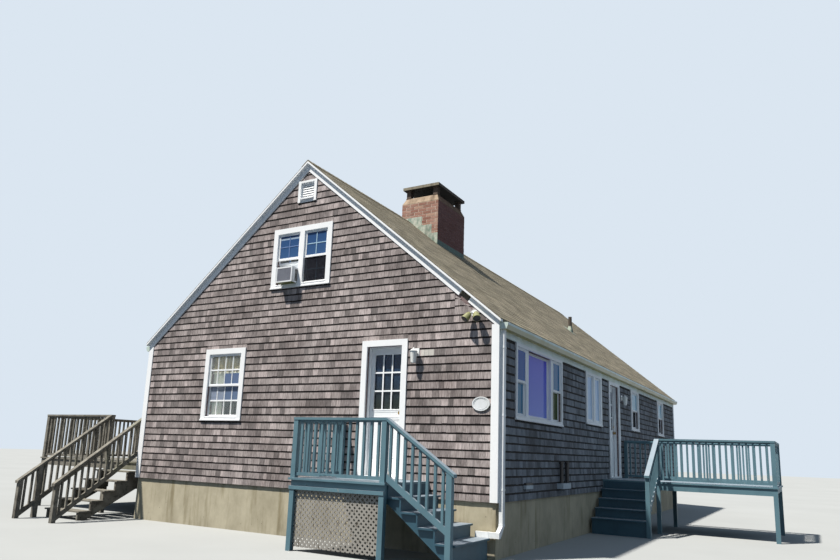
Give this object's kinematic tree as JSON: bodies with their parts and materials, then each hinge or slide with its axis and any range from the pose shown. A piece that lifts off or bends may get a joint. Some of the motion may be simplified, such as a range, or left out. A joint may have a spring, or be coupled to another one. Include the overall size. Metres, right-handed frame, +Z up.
{
  "type": "beach house",
  "caption": "Shingled beach house with a steep gable roof, brick chimney, hinged gable and side doors, and timber decks with stairs and railings.",
  "frame": {"origin": "middle of the whole plan, at the ground under the foundation", "axes": "+X across the front gable to the right, +Y from the front gable to the rear gable, +Z up"},
  "size_m": [13.841, 15.4492, 7.142],
  "materials": {
    "concrete_block": "painted concrete blocks, weathered",
    "floor_timber": "planed timber",
    "wall_shingle": "weathered cedar shingles",
    "roof_shingle": "asphalt roof shingles with stone granules",
    "white_paint": "worn white paint",
    "white_metal": "white enamel",
    "brick": "fired brick with mortar joints",
    "mortar": "trowelled mortar",
    "lead_sheet": "weathered lead sheet",
    "cast_iron_pipe": "dull",
    "window_glass": "clear float glass",
    "brass": "dull",
    "white_plastic": "matte",
    "teal_timber": "worn teal deck paint",
    "lattice_timber": "thin worn white paint",
    "grey_timber": "bare weathered grey"
  },
  "bodies": {
    "house": {"foundation": "concrete_block", "main_floor": "floor_timber", "upper_floor": "floor_timber", "front_wall_left": "wall_shingle", "front_wall_right": "wall_shingle", "front_gable": "wall_shingle", "door_headers": "wall_shingle", "right_wall_front": "wall_shingle", "right_wall_rear": "wall_shingle", "left_wall": "wall_shingle", "rear_wall": "wall_shingle", "roof_left": "roof_shingle", "roof_right": "roof_shingle", "ridge_cap": "roof_shingle", "corner_boards": "white_paint", "rake_boards": "white_paint", "frieze_boards": "white_paint", "gutters": "white_metal", "downspouts": "white_metal", "chimney": "brick", "chimney_wash": "mortar", "chimney_cap": "mortar", "chimney_flashing": "lead_sheet", "vent_pipe": "cast_iron_pipe", "gable_vents": "white_paint", "window_casings": "white_paint", "window_sashes": "white_paint", "window_glass": "window_glass", "door_frames": "white_paint", "door_hinges": "brass", "patio_door": "white_paint", "air_conditioner": "white_plastic", "outdoor_lights": "white_metal", "house_plaque": "white_plastic", "utility_fittings": "white_metal", "stoop_platform": "teal_timber", "stoop_posts": "teal_timber", "stoop_railing": "teal_timber", "stoop_steps": "teal_timber", "stoop_lattice": "lattice_timber", "side_deck": "teal_timber", "side_deck_posts": "teal_timber", "side_deck_railing": "teal_timber", "side_deck_steps": "teal_timber", "left_deck": "grey_timber", "left_deck_posts": "grey_timber", "left_deck_railing": "grey_timber", "left_deck_steps": "grey_timber"},
    "gable_door": {"gable_door": "white_paint", "gable_door_glass": "window_glass", "gable_door_hardware": "brass"},
    "side_door": {"side_door": "white_paint", "side_door_glass": "window_glass", "side_door_hardware": "brass"}
  },
  "joints": [
    {"name": "gable_door_hinge", "type": "hinge", "parent": "house", "child": "gable_door", "pos_m": [1.548, -6.06515, 1.98], "axis": [0, 0, 1], "range_deg": [0, 95]},
    {"name": "side_door_hinge", "type": "hinge", "parent": "house", "child": "side_door", "pos_m": [3.594, -0.14865, 1.98], "axis": [0, 0, 1], "range_deg": [0, 95]}
  ]
}
